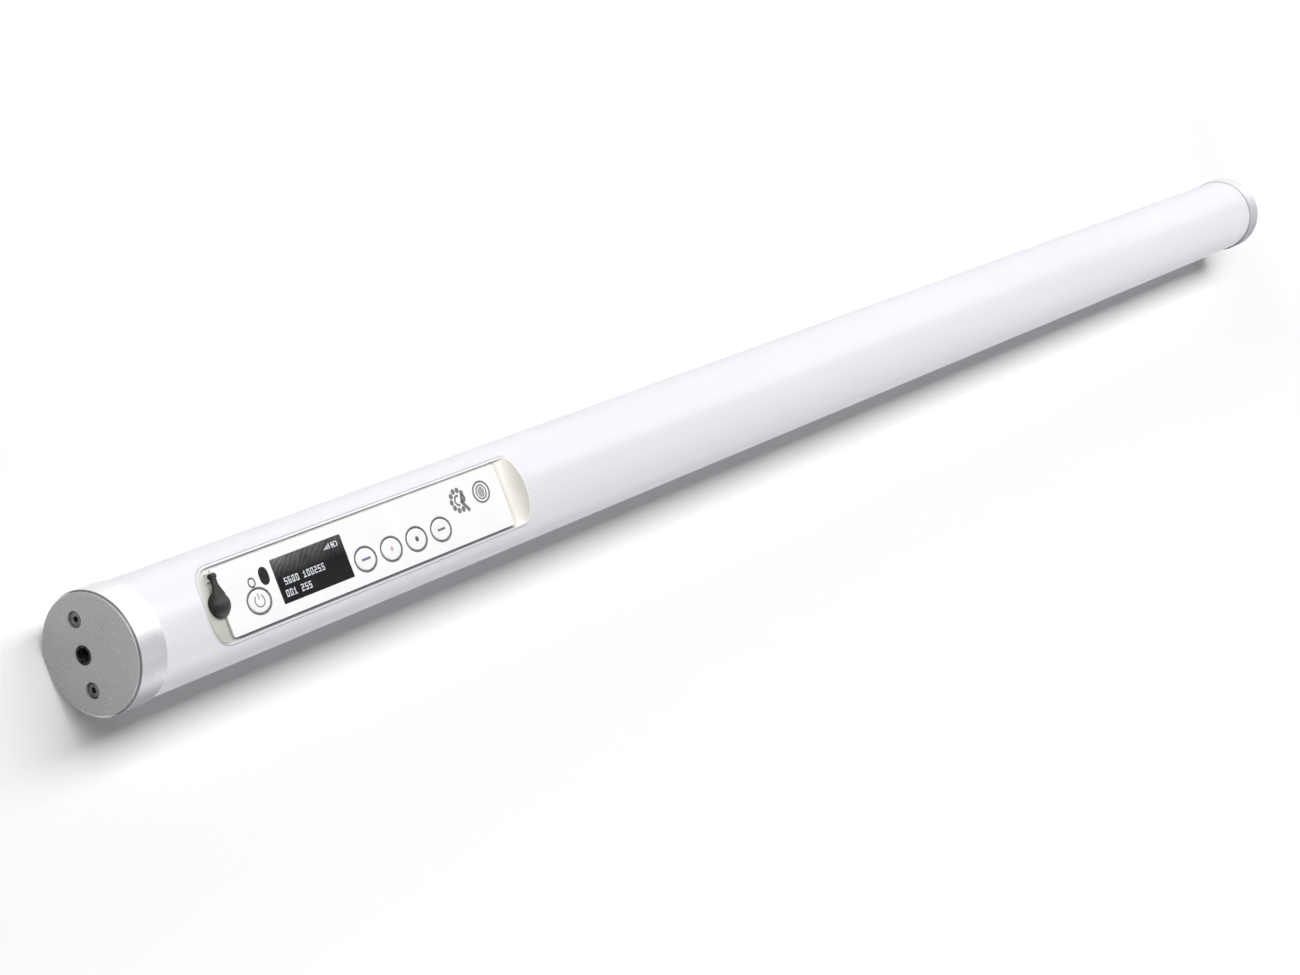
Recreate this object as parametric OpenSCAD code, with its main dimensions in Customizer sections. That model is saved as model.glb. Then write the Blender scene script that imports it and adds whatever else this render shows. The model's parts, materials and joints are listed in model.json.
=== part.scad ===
// LED light tube: a battery-powered opal tube lamp with a control panel sunk into it near one
// end, and a threaded hanging hole in the middle of each aluminium end cap.
// X runs along the tube from the panel end, Z points out of the panel, and the origin is on the
// tube's axis, half-way along. Places along the tube are measured from the near end face.

/* [Tube] */
// Overall length over both end caps
overall_len = 1035; // [800:5:1400]
// Outside diameter of the opal tube
tube_d = 41.5; // [41:0.25:46]
// Wall of the opal tube
tube_wall = 2; // [1.6:0.1:2.3]

/* [End caps] */
// How far a cap's ring stands proud of the tube
cap_step = 0.75; // [0.3:0.05:2]
// Length of a cap's visible ring
cap_ring = 12.9; // [11:0.1:13.5]
// Thickness of a cap's face plate
cap_plate = 6; // [4:0.5:9]
// Length of the spigot that fits inside the tube
spigot_len = 9; // [8:0.5:11]
// Clearance of the spigot in the tube
spigot_gap = 0.15; // [0.05:0.05:0.3]
// Chamfer round a cap's face
cap_chamfer = 0.9; // [0.3:0.1:2]
// Wall of a cap behind its seal groove
cap_wall = 1.6; // [1.2:0.1:3]
// Turn of the caps' row of holes about the axis, from the panel's width
cap_turn = 9; // [0:1:9]
// Gap between a cap and the end of the carrier profile
end_gap = 0.3; // [0.1:0.1:1]

/* [Hanging thread] */
// Distance of the thread's axis from the tube's axis
hang_drop = 3; // [2:0.5:4]
// Minor diameter of the thread, for a quarter-inch camera screw
hang_minor_d = 5.1; // [4.2:0.1:5.5]
// Outside diameter of the thread insert
insert_d = 6.9; // [6.5:0.1:8.5]
// Length of the thread insert
insert_len = 12; // [8:0.5:13]

/* [Cap screws] */
// Distance between a cap's two screws
screw_span = 24; // [23:0.5:25]
// Thread diameter of a cap screw
screw_d = 2.5; // [2.5:0.5:3]
// Head diameter of a cap screw
screw_head_d = 4.6; // [4.4:0.1:5.4]
// Head height of a cap screw
screw_head_h = 2.4; // [1.5:0.1:3]
// Length of thread inside the carrier profile
screw_bite = 8; // [5:1:20]

/* [Seals] */
// Thickness of a seal ring's cord
seal_t = 2; // [1.5:0.1:2.5]
// Extra width of the seal groove
seal_room = 0.5; // [0.2:0.1:1]

/* [Carrier profile] */
// Clearance between the profile and the tube
carrier_gap = 0.3; // [0.1:0.05:0.6]
// Height of the web's underside above the axis
web_rise = 2; // [1.8:0.1:2.4]
// Thickness of the web
web_t = 1.6; // [1.2:0.1:2]
// Thickness of the curved legs
leg_t = 1.4; // [1:0.1:2]
// How far the legs reach below the axis
leg_drop = 9; // [8:0.5:12]
// Outside diameter of a screw port
port_d = 5.2; // [4.6:0.1:5.2]
// Depth of the cooling ribs under the web
rib_h = 0.8; // [0.4:0.1:0.9]

/* [LED boards] */
// Width of the boards
led_board_w = 18; // [14:1:24]
// Thickness of the boards
led_board_t = 1.4; // [1:0.1:2]
// Number of boards end to end
led_board_count = 3; // [1:1:4]
// Emitters along one board
leds_per_board = 16; // [4:1:20]
// Distance between the two rows of emitters
led_row_gap = 8; // [6:0.5:10]
// Side of one emitter
led_side = 5; // [3:0.5:5]
// Height of one emitter
led_h = 1.6; // [0.8:0.1:2]
// Thickness of the partition between the panel and the LEDs
baffle_t = 2; // [1:0.5:4]
// Gap between the panel tray and the partition
baffle_gap = 1.2; // [0.5:0.1:5]

/* [Battery] */
// Number of cells end to end
cell_count = 8; // [4:1:10]
// Diameter of a cell
cell_d = 18.4; // [18:0.1:18.5]
// Length of a cell
cell_len = 65; // [60:1:70]
// Thickness of the insulator between two cells
insulator_t = 1.2; // [0.6:0.1:3]
// Wall of the battery's sleeve
sleeve_t = 0.3; // [0.2:0.1:0.4]
// Distance from the near end face to the battery
battery_start = 240; // [40:5:300]
// Height of the battery's mounting pad
pad_h = 1.1; // [0.8:0.1:1.2]
// Width of the battery's mounting pad
pad_w = 7; // [4:0.5:8]

/* [Panel recess] */
// Distance from the near end face to the recess
recess_start = 36.4; // [30:0.2:60]
// Length of the recess
recess_len = 188.8; // [186:0.2:200]
// Width of the recess
recess_w = 26.6; // [26.2:0.2:27.4]
// Depth of the recess below the top of the tube
recess_depth = 6.15; // [6:0.05:6.4]
// Corner radius at the recess's near end
recess_near_r = 12; // [4:0.5:13]
// Corner radius at the recess's far end
recess_far_r = 1.5; // [1:0.5:8]
// Radius of the cove at the foot of the near end wall
near_cove = 6; // [1:0.5:6]
// Radius of the cove at the foot of the far end wall
far_cove = 4; // [1:0.5:6]
// Thickness of the tray's floor
tray_floor = 2; // [1.6:0.1:2.2]
// Width of the tray's rim
tray_rim = 0.8; // [0.7:0.1:1.2]
// Gap between the tray and the tube
tray_gap = 0.15; // [0.05:0.05:0.3]

/* [Panel label] */
// Distance from the recess's near end to the label
label_inset = 13.2; // [13:0.1:15]
// Distance from the label to the recess's far end
label_far_inset = 8.3; // [8:0.1:12]
// Width of the label
label_w = 24.6; // [23.6:0.1:25]
// Thickness of the label
label_t = 0.55; // [0.4:0.05:0.8]
// Height of the plinth under the label
plinth_h = 0.45; // [0.3:0.05:0.6]
// How far the plinth's edge lies inside the label's
plinth_inset = 0.2; // [0:0.05:0.5]

/* [Display] */
// Distance from the label's near end to the display window
display_from = 29.1; // [28.5:0.1:30]
// Length of the display window
display_len = 39.6; // [36:0.1:40]
// Width of the display window
display_w = 16.2; // [12:0.1:16.4]
// Ledge under the edge of the display window
display_ledge = 0.8; // [0.5:0.1:1.5]
// Thickness of the display panel
display_t = 1.6; // [1:0.1:1.8]

/* [Keys] */
// Length of an oval key, along the tube
key_len = 11; // [9:0.1:11.2]
// Width of an oval key, across the panel
key_w = 8; // [7:0.1:8.2]
// Clearance round a key
key_gap = 0.35; // [0.2:0.05:0.45]
// Travel of a key
key_travel = 0.4; // [0.2:0.05:0.5]
// How far a key stands above the label
key_proud = 0.25; // [0.1:0.05:0.6]
// Length of the tab on each side that keeps a key in
key_tab = 0.9; // [0.6:0.1:1]
// Width of a key's tabs
key_tab_w = 4.5; // [3:0.5:5]
// Thickness of a key's tabs
key_tab_t = 0.8; // [0.6:0.05:0.9]
// Place of the row of keys across the panel
key_row = -3.7; // [-4.4:0.1:-3.7]
// Distance from the label's near end to the power key
power_from = 17.6; // [17.2:0.1:18]
// Distance from the display to the first of the four keys' axis
keys_gap = 8.75; // [8:0.05:10]
// Distance from one of the four keys to the next
key_pitch = 15.42; // [14:0.02:15.6]

/* [Window and lens] */
// Distance from the axis of the remote receiver's window to the display
ir_gap = 5; // [4:0.1:5.4]
// Place of the receiver's window across the panel
ir_row = 3.75; // [3.6:0.05:5]
// Length of the receiver's window, across the panel
ir_len = 6.4; // [5.4:0.1:6.6]
// Width of the receiver's window, along the tube
ir_w = 4.8; // [3.6:0.1:5]
// Place of the status lens across the panel
lens_row = 3.05; // [3:0.05:4]
// Diameter of the status lens
lens_d = 2.5; // [1.6:0.1:2.6]

/* [Charging inlet] */
// Distance from the recess's near end to the inlet
inlet_from = 11.9; // [11:0.1:12.6]
// Diameter of the inlet's body
inlet_d = 8.6; // [8:0.1:8.6]
// Diameter of the inlet's bore
inlet_bore_d = 5.6; // [5.5:0.1:6.2]
// Depth of the inlet's bore
inlet_depth = 8.5; // [7:0.1:8.7]
// Thickness of the inlet's bottom
inlet_bottom = 1.1; // [0.8:0.1:1.3]
// Diameter of the inlet's centre pin
inlet_pin_d = 2; // [1.6:0.1:2.5]
// How far the centre pin is set back from the mouth
inlet_pin_back = 3.6; // [3.4:0.1:5]

/* [Charging plug] */
// Diameter of the rubber plug's head
plug_d = 9; // [8.7:0.1:9.2]
// Height of the plug's head
plug_h = 4.3; // [3.6:0.1:4.5]
// Radius of the dome on the plug's head
plug_dome_r = 4.9; // [4.7:0.1:7]
// Depth of the plug's stem in the inlet
plug_stem = 3; // [2:0.1:3.2]
// Distance from the plug's axis to its strap's hinge
strap_len = 9.8; // [9.4:0.1:10]
// Height of the strap's hinge above the recess floor
strap_rise = 2.2; // [2:0.1:2.6]
// Width of the strap
strap_w = 2.2; // [1.6:0.1:3]
// Thickness of the strap
strap_t = 1; // [0.8:0.1:1.1]
// Radius of the strap's round end
knuckle_r = 1.1; // [0.9:0.05:1.2]

/* [Boards] */
// Thickness of the control board
control_t = 1.2; // [1:0.1:1.6]
// Width of the control board
control_w = 26; // [24.5:0.5:27]
// Gap between the tray and the control board
control_gap = 0.7; // [0.6:0.05:1]
// Height of a dome switch
dome_h = 0.55; // [0.4:0.05:0.6]
// Height of the driver board above the web
driver_rise = 1.2; // [0.8:0.1:1.4]
// Thickness of the driver board
driver_t = 1.2; // [1:0.1:1.4]
// Width of the driver board
driver_w = 24; // [20:1:26]

/* [Hidden] */
$fn = 64;

// tube and caps
tube_r = tube_d / 2;
bore_r = tube_r - tube_wall;
cap_r = tube_r + cap_step;
cap_len = cap_ring + spigot_len;
spigot_r = bore_r - spigot_gap;
seal_r = bore_r - seal_t;
seal_w = seal_t + seal_room;
seal_from = cap_ring + 2;
pocket_r = seal_r - cap_wall;
insert_wall = 2.5;
screw_wall = 0.4;
screw_sunk = 0.7;
screw_head_room = 0.6;
socket_r = 0.45 * screw_d;
socket_depth = 0.6 * screw_head_h;
joint_gap = 0.1;
fit_gap = 0.05;
slip = 0.15;
loose = 0.3;

// places of the caps' holes, seen along the tube
function turned(y, z) = [
    y * cos(cap_turn) - z * sin(cap_turn),
    y * sin(cap_turn) + z * cos(cap_turn)];
hang_at = turned(0, -hang_drop);
screws_at = [for (side = [-1, 1]) turned(side * screw_span / 2, -hang_drop)];

// carrier profile
carrier_r = bore_r - carrier_gap;
carrier_from = cap_len + end_gap;
carrier_len = overall_len - 2 * carrier_from;
web_top = web_rise + web_t;
rib_t = 1;
rib_pitch = 3;
rib_count = 4;
rib_from = 6;

// panel stack, from the top down
recess_floor = tube_r - recess_depth;
recess_end = recess_start + recess_len;
tray_bottom = recess_floor - tray_floor;
label_start = recess_start + label_inset;
label_end = recess_end - label_far_inset;
label_bottom = recess_floor + plinth_h;
label_top = label_bottom + label_t;
control_top = tray_bottom - control_gap;
control_bottom = control_top - control_t;
control_inset = 5;
control_start = recess_start + control_inset;
control_end = recess_end - control_inset;
driver_bottom = web_top + driver_rise;
driver_top = driver_bottom + driver_t;
driver_near_inset = 33;
driver_far_inset = 20;
driver_start = recess_start + driver_near_inset;
driver_end = recess_end - driver_far_inset;
coil_d = 10;
coil_h = 2.6;
coil_gap = 12;
coil_from = 20;
cap_d = 6;
cap_gap = 4;
cap_from = 34;
chip_len = 8;
chip_h = 1.4;
plug_block_len = 6;
plug_block_h = 2.4;

// display
display_start = label_start + display_from;
display_end = display_start + display_len;
display_pad_inset = 3;

// keys
key_reach = key_len / 2 + key_tab;
key_crown = 0.3;
key_brow = 0.9;
key_stem_r = 1.6;
dome_r = 2.8;
dome_top_r = 2;
key_at = [label_start + power_from, for (i = [0:3]) display_end + keys_gap + i * key_pitch];
key_tab_top = label_bottom - fit_gap;
key_foot = control_top + dome_h + key_travel + fit_gap;

// window, lens and inlet
lens_back = 0.5;
status_led_size = [1.6, 1.2];
ir_receiver_len = 5.4;
corner_r = 1;
glass_corner_r = 0.5;
ir_at = display_start - ir_gap;
lens_at = label_start + power_from - lens_back;
inlet_at = recess_start + inlet_from;
inlet_top = recess_floor;
inlet_base = inlet_top - inlet_depth - inlet_bottom;
hinge_z = recess_floor + strap_rise;
notch_r = plug_d / 2 + 0.4;
strap_lift = 0.1;
cradle_half = strap_w / 2 + 0.2;
cradle_end = 0.4;

// tray screws and board screws
post_r = 2.5;
tray_screw_r = 1.25;
tray_screw_len = 7.5;
tray_screw_head_r = 2.3;
post_row = 9.4;
posts_at = [label_start + 6.4, label_end - 4.7];
board_screw_r = 0.8;
board_boss_r = 1.9;
board_hole_top = 0.6;
board_screw_head_r = 1.6;
board_screw_head_h = 0.9;
board_row = 10.6;
board_screws_at = [display_start + 9, key_at[4] + 10];
radio_len = 16;
radio_w = 12;
radio_h = 1;
radio_back = 6;
standoff_r = 2;
standoff_inset = 4;

// LED boards
led_inset = 1;
led_board_gap = 0.4;
led_start = recess_end + tray_rim + baffle_gap + baffle_t + led_inset;
led_end = overall_len - carrier_from - led_inset;
led_board_len = (led_end - led_start) / led_board_count;
led_pitch = led_board_len / leds_per_board;

// battery
cell_r = cell_d / 2;
sleeve_r = cell_r + fit_gap + sleeve_t;
battery_z = web_rise - pad_h - sleeve_r;
cell_pitch = cell_len + insulator_t;
battery_room = 0.3;
cell_bead = 0.6;
cell_bead_back = 2.6;
cell_bead_w = 0.4;
cell_button_r = 4;
cell_button_h = 0.8;
pad_inset = 5;
battery_len = cell_count * cell_pitch + insulator_t;

function along(s) = s - overall_len / 2;

// a flat shape drawn in (Y, Z) and drawn out along the tube
module along_tube(start, len) {
    translate([along(start), 0, 0]) rotate([90, 0, 90]) linear_extrude(len) children();
}

// a flat shape drawn in (X, Y) and raised
module raised(bottom, top) {
    translate([0, 0, bottom]) linear_extrude(top - bottom) children();
}

// a shape in (X, Y) from start to end with its own corner radius at each end
module rounded_plan(start, end, half_w, near_r, far_r) {
    translate([along(start + near_r), -half_w]) square([end - start - near_r - far_r, 2 * half_w]);
    for (e = [[start + near_r, near_r], [end - far_r, far_r]]) {
        translate([along(e[0]) - e[1], -half_w + e[1]]) square(2 * [e[1], half_w - e[1]]);
        for (side = [-1, 1])
            translate([along(e[0]), side * (half_w - e[1])]) circle(e[1]);
    }
}

module box_plan(start, end, half_w, y = 0) {
    translate([along(start), y - half_w]) square([end - start, 2 * half_w]);
}

module recess_plan(grow) {
    rounded_plan(recess_start - grow, recess_end + grow, recess_w / 2 + grow,
        recess_near_r + grow, recess_far_r + grow);
}

// --- tube and end caps

module diffuser_tube() color([0.95, 0.95, 0.97]) {
    difference() {
        along_tube(cap_ring + joint_gap, overall_len - 2 * (cap_ring + joint_gap)) difference() {
            circle(tube_r, $fn = 96);
            circle(bore_r, $fn = 96);
        }
        raised(0, tube_r + 1) recess_plan(tray_rim + tray_gap);
    }
}

module cap_profile() {
    polygon([[0, 0], [cap_r - cap_chamfer, 0], [cap_r, cap_chamfer], [cap_r, cap_ring],
        [spigot_r, cap_ring], [spigot_r, seal_from], [seal_r, seal_from],
        [seal_r, seal_from + seal_w], [spigot_r, seal_from + seal_w], [spigot_r, cap_len],
        [pocket_r, cap_len], [pocket_r, cap_plate], [0, cap_plate]]);
}

// the near cap, with its outer face at the near end face
module end_cap() color([0.83, 0.83, 0.85]) {
    difference() {
        union() {
            translate([along(0), 0, 0]) rotate([0, 90, 0])
                rotate_extrude($fn = 96) cap_profile();
            along_tube(cap_plate, insert_len + cap_wall - cap_plate)
                translate(hang_at) circle(insert_d / 2 + insert_wall);
            along_tube(cap_plate, cap_len - cap_plate) for (at = screws_at)
                translate(at) circle(screw_head_d / 2 + screw_wall);
        }
        along_tube(-1, insert_len + 1) translate(hang_at) circle(insert_d / 2);
        along_tube(-1, cap_len + 2) for (at = screws_at)
            translate(at) circle(screw_d / 2 + slip);
        along_tube(-1, 1 + screw_sunk + screw_head_h) for (at = screws_at)
            translate(at) circle(screw_head_d / 2 + screw_head_room);
    }
}

module thread_insert() color([0.3, 0.3, 0.32]) {
    along_tube(0, insert_len) translate(hang_at) difference() {
        circle(insert_d / 2);
        circle(hang_minor_d / 2);
    }
}

module seal() color([0.1, 0.1, 0.1]) {
    translate([along(seal_from + seal_w / 2), 0, 0]) rotate([0, 90, 0])
        rotate_extrude($fn = 96) translate([bore_r - seal_t / 2, 0]) circle(seal_t / 2 - fit_gap);
}

// two cap screws with a six-sided socket
module cap_screws() color([0.7, 0.7, 0.72]) {
    difference() {
        for (at = screws_at) {
            along_tube(screw_sunk, screw_head_h) translate(at) circle(screw_head_d / 2);
            along_tube(screw_sunk + screw_head_h, cap_len + screw_bite - screw_head_h)
                translate(at) circle(screw_d / 2);
        }
        along_tube(0, screw_sunk + socket_depth) for (at = screws_at)
            translate(at) circle(socket_r, $fn = 6);
    }
}

module near_end_cap() end_cap();
module far_end_cap() mirror([1, 0, 0]) end_cap();
module near_thread_insert() thread_insert();
module far_thread_insert() mirror([1, 0, 0]) thread_insert();
module near_seal() seal();
module far_seal() mirror([1, 0, 0]) seal();
module near_cap_screws() cap_screws();
module far_cap_screws() mirror([1, 0, 0]) cap_screws();

// --- carrier, LEDs and battery

module carrier_section() {
    difference() {
        union() {
            intersection() {
                difference() {
                    circle(carrier_r, $fn = 96);
                    circle(carrier_r - leg_t, $fn = 96);
                }
                translate([-carrier_r, -leg_drop])
                    square([2 * carrier_r, leg_drop + web_top]);
            }
            intersection() {
                circle(carrier_r, $fn = 96);
                union() {
                    translate([-carrier_r, web_rise]) square([2 * carrier_r, web_t]);
                    for (side = [-1, 1], i = [0:rib_count - 1])
                        translate([side * (rib_from + i * rib_pitch) - rib_t / 2, web_rise - rib_h])
                            square([rib_t, rib_h + web_t]);
                }
            }
            for (at = screws_at) {
                translate(at) circle(port_d / 2);
                rotate(atan2(at[1], at[0])) translate([norm(at), -1])
                    square([carrier_r - leg_t / 2 - norm(at), 2]);
            }
        }
        for (at = screws_at) translate(at) circle(screw_d / 2 + fit_gap);
        translate([0, battery_z]) circle(sleeve_r + battery_room);
    }
}

module carrier_profile() color([0.75, 0.76, 0.78]) {
    along_tube(carrier_from, carrier_len) carrier_section();
}

module light_baffle() color([0.9, 0.9, 0.9]) {
    along_tube(recess_end + tray_rim + baffle_gap, baffle_t) intersection() {
        circle(carrier_r, $fn = 96);
        translate([-tube_r, web_top]) square([tube_d, tube_r]);
    }
}

module led_boards() color([0.92, 0.93, 0.9]) {
    for (i = [0:led_board_count - 1])
        raised(web_top, web_top + led_board_t)
            box_plan(led_start + i * led_board_len + led_board_gap / 2,
                led_start + (i + 1) * led_board_len - led_board_gap / 2, led_board_w / 2);
}

module led_emitters() color([0.95, 0.85, 0.4]) {
    for (i = [0:led_board_count * leds_per_board - 1], side = [-1, 1])
        translate([along(led_start + (i + 0.5) * led_pitch), side * led_row_gap / 2,
            web_top + led_board_t + led_h / 2])
            cube([led_side, led_side, led_h], center = true);
}

module battery_cells() color([0.25, 0.5, 0.6]) {
    for (i = [0:cell_count - 1])
        translate([along(battery_start + insulator_t + i * cell_pitch), 0, battery_z])
            rotate([0, 90, 0]) rotate_extrude() polygon([[0, 0], [cell_r, 0],
                [cell_r, cell_len - cell_bead_back - cell_bead_w],
                [cell_r - cell_bead, cell_len - cell_bead_back],
                [cell_r, cell_len - cell_bead_back + cell_bead_w],
                [cell_r, cell_len - cell_button_h], [cell_button_r, cell_len - cell_button_h],
                [cell_button_r - 0.5, cell_len], [0, cell_len]]);
}

module battery_insulators() color([0.9, 0.9, 0.85]) {
    for (i = [0:cell_count])
        along_tube(battery_start + i * cell_pitch, insulator_t)
            translate([0, battery_z]) circle(cell_r - loose);
}

module battery_sleeve() color([0.15, 0.3, 0.65]) {
    along_tube(battery_start, battery_len) translate([0, battery_z]) difference() {
        circle(sleeve_r);
        circle(cell_r + fit_gap);
    }
}

// foam tape that sticks the battery to the web
module battery_pad() color([0.2, 0.2, 0.2]) {
    along_tube(battery_start + pad_inset, battery_len - 2 * pad_inset) difference() {
        translate([-pad_w / 2, battery_z + sleeve_r - 1]) square([pad_w, pad_h + 1]);
        translate([0, battery_z]) circle(sleeve_r);
    }
}

// --- panel tray and label

// side view of the recess, in (X, Z)
module recess_side() {
    top = tube_r + 1;
    for (e = [[recess_start, near_cove, 0], [recess_end, far_cove, -1]]) {
        translate([along(e[0]) + e[2] * e[1], recess_floor + e[1]])
            square([e[1], top - recess_floor - e[1]]);
        translate([along(e[0]) + (1 + 2 * e[2]) * e[1], recess_floor + e[1]]) circle(e[1]);
    }
    translate([along(recess_start + near_cove), recess_floor])
        square([recess_len - near_cove - far_cove, top - recess_floor]);
}

module recess_space() {
    intersection() {
        raised(recess_floor, tube_r + 1) recess_plan(0);
        rotate([90, 0, 0]) linear_extrude(recess_w + 2, center = true) recess_side();
    }
}

module label_plan(inset) {
    difference() {
        rounded_plan(label_start + inset, label_end - inset, label_w / 2 - inset,
            corner_r, corner_r);
        translate([along(inlet_at), 0]) circle(notch_r);
        translate([along(inlet_at) - cradle_half - slip, 0])
            square([2 * (cradle_half + slip), strap_len + knuckle_r + cradle_end + slip]);
    }
}

// an ellipse, long along the tube
module oval_plan(grow) {
    scale([(key_len / 2 + grow) / (key_w / 2 + grow), 1]) circle(key_w / 2 + grow);
}

// oval well with a slot at each end for a key's tabs
module key_well(s) {
    translate([along(s), key_row]) {
        oval_plan(key_gap);
        square([2 * (key_reach + key_gap), key_tab_w + 2 * key_gap], center = true);
    }
}

module ir_plan(grow) {
    translate([along(ir_at), ir_row]) {
        square([ir_w + 2 * grow, ir_len - ir_w], center = true);
        for (side = [-1, 1])
            translate([0, side * (ir_len - ir_w) / 2]) circle(ir_w / 2 + grow);
    }
}

module lens_plan(grow) {
    translate([along(lens_at), lens_row]) circle(lens_d / 2 + grow);
}

module display_well() {
    box_plan(display_start + display_ledge, display_end - display_ledge,
        display_w / 2 - display_ledge);
}

module at_posts() {
    for (s = posts_at, side = [-1, 1])
        translate([along(s), side * post_row]) children();
}

module at_board_screws() {
    for (s = board_screws_at, side = [-1, 1])
        translate([along(s), side * board_row]) children();
}

// a sunk head on a straight shank, with its top at z = 0
module sunk_screw(head_r, shank_r, len) {
    rotate_extrude() polygon([[0, -len], [shank_r, -len], [shank_r, shank_r - head_r],
        [head_r, 0], [0, 0]]);
}

module panel_tray() color([0.92, 0.91, 0.86]) {
    difference() {
        union() {
            intersection() {
                along_tube(0, overall_len) circle(tube_r, $fn = 96);
                raised(tray_bottom, tube_r) recess_plan(tray_rim);
            }
            raised(control_top, tray_bottom) at_board_screws() circle(board_boss_r);
        }
        difference() {
            recess_space();
            raised(recess_floor - 1, label_bottom) label_plan(plinth_inset);
        }
        raised(tray_bottom - 1, label_bottom + 1) {
            for (s = key_at) key_well(s);
            display_well();
            ir_plan(slip);
            lens_plan(slip);
            at_posts() circle(tray_screw_r + slip);
            translate([along(inlet_at), 0]) circle(inlet_d / 2 + fit_gap);
        }
        translate([0, 0, label_bottom + 0.01]) at_posts()
            sunk_screw(tray_screw_head_r + fit_gap, tray_screw_r + slip, tray_floor + 2);
        raised(control_top - 1, recess_floor - board_hole_top) at_board_screws()
            circle(board_screw_r + fit_gap);
    }
}

module tray_posts() color([0.7, 0.7, 0.68]) {
    raised(web_top, tray_bottom) at_posts() difference() {
        circle(post_r);
        circle(tray_screw_r + fit_gap);
    }
}

module tray_screws() color([0.6, 0.6, 0.62]) {
    translate([0, 0, label_bottom]) at_posts()
        sunk_screw(tray_screw_head_r, tray_screw_r, tray_screw_len);
}

module panel_label() color([0.98, 0.98, 0.98]) {
    raised(label_bottom, label_top) difference() {
        label_plan(0);
        for (s = key_at) translate([along(s), key_row]) oval_plan(key_gap);
        rounded_plan(display_start, display_end, display_w / 2, glass_corner_r, glass_corner_r);
        ir_plan(fit_gap);
        lens_plan(slip);
    }
}

module display_window() color([0.08, 0.08, 0.1]) {
    raised(label_bottom, label_top)
        rounded_plan(display_start + fit_gap, display_end - fit_gap,
            display_w / 2 - fit_gap, glass_corner_r - fit_gap, glass_corner_r - fit_gap);
}

module display_panel() color([0.12, 0.12, 0.14]) {
    edge = display_ledge + loose;
    raised(label_bottom - joint_gap - display_t, label_bottom - joint_gap)
        box_plan(display_start + edge, display_end - edge, display_w / 2 - edge);
}

module display_pad() color([0.25, 0.25, 0.25]) {
    raised(control_top, label_bottom - joint_gap - display_t)
        box_plan(display_start + pad_inset, display_end - pad_inset,
            display_w / 2 - display_pad_inset);
}

// --- keys and what they press

// an oval key: crowned cap, two tabs under the label and a stem over its switch
module key(s) {
    base = key_tab_top - key_tab_t;
    top = label_top + key_proud;
    r = key_w / 2;
    translate([along(s), key_row, 0]) {
        scale([key_len / key_w, 1, 1]) rotate_extrude() polygon([[0, base], [r, base],
            [r, top - key_crown], [r - key_crown, top - fit_gap], [r - key_brow, top], [0, top]]);
        raised(key_foot, base) circle(key_stem_r);
        translate([-key_reach, -key_tab_w / 2, base]) cube([2 * key_reach, key_tab_w, key_tab_t]);
    }
}

module power_key() color([0.96, 0.96, 0.96]) key(key_at[0]);
module menu_key() color([0.96, 0.96, 0.96]) key(key_at[1]);
module back_key() color([0.96, 0.96, 0.96]) key(key_at[2]);
module enter_key() color([0.96, 0.96, 0.96]) key(key_at[3]);
module mode_key() color([0.96, 0.96, 0.96]) key(key_at[4]);

module dome_switches() color([0.8, 0.8, 0.82]) {
    for (s = key_at) translate([along(s), key_row, control_top])
        cylinder(h = dome_h, r1 = dome_r, r2 = dome_top_r);
}

module ir_window() color([0.1, 0.08, 0.1]) {
    raised(tray_bottom, label_top) ir_plan(0);
}

module ir_receiver() color([0.15, 0.15, 0.15]) {
    raised(control_top, tray_bottom - fit_gap) translate([along(ir_at), ir_row])
        square([ir_w, ir_receiver_len], center = true);
}

module status_lens() color([0.85, 0.87, 0.9]) {
    raised(tray_bottom, label_top) lens_plan(0);
}

module status_led() color([0.9, 0.9, 0.7]) {
    raised(control_top, tray_bottom - fit_gap) translate([along(lens_at), lens_row])
        square(status_led_size, center = true);
}

// --- boards

module control_board() color([0.1, 0.35, 0.2]) {
    raised(control_bottom, control_top) difference() {
        box_plan(control_start, control_end, control_w / 2);
        at_posts() circle(post_r + loose);
        at_board_screws() circle(board_screw_r + slip);
        translate([along(inlet_at), 0]) circle(inlet_d / 2 + loose);
    }
}

module board_screws() color([0.6, 0.6, 0.62]) {
    at_board_screws() {
        raised(control_bottom - board_screw_head_h, control_bottom) circle(board_screw_head_r);
        raised(control_bottom, recess_floor - board_hole_top - slip) circle(board_screw_r);
    }
}

module radio_module() color([0.75, 0.75, 0.78]) {
    raised(control_bottom - radio_h, control_bottom)
        box_plan(control_end - radio_back - radio_len, control_end - radio_back, radio_w / 2);
}

module driver_board() color([0.1, 0.35, 0.2]) {
    raised(driver_bottom, driver_top) box_plan(driver_start, driver_end, driver_w / 2);
}

module driver_standoffs() color([0.7, 0.7, 0.68]) {
    for (s = [driver_start + standoff_inset, driver_end - standoff_inset], side = [-1, 1])
        raised(web_top, driver_bottom)
            translate([along(s), side * (driver_w / 2 - standoff_inset)]) circle(standoff_r);
}

// coils, a converter, connectors and a row of capacitors
module driver_parts() color([0.2, 0.2, 0.22]) {
    for (i = [0:2]) raised(driver_top, driver_top + coil_h)
        translate([along(driver_start + coil_from + i * (coil_d + coil_gap)), driver_w / 6])
            circle(coil_d / 2);
    raised(driver_top, driver_top + chip_h)
        box_plan(driver_start + coil_from - chip_len, driver_start + coil_from, 3, -driver_w / 4);
    for (i = [0:3]) raised(driver_top, driver_top + plug_block_h)
        translate([along(driver_start + cap_from + i * (cap_d + cap_gap)), -driver_w / 4])
            circle(cap_d / 2);
    for (s = [driver_start, driver_end - 2 * plug_block_len])
        raised(driver_top, driver_top + plug_block_h)
            box_plan(s + plug_block_len / 2, s + 1.5 * plug_block_len, 5);
}

// --- charging inlet and its rubber plug

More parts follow.
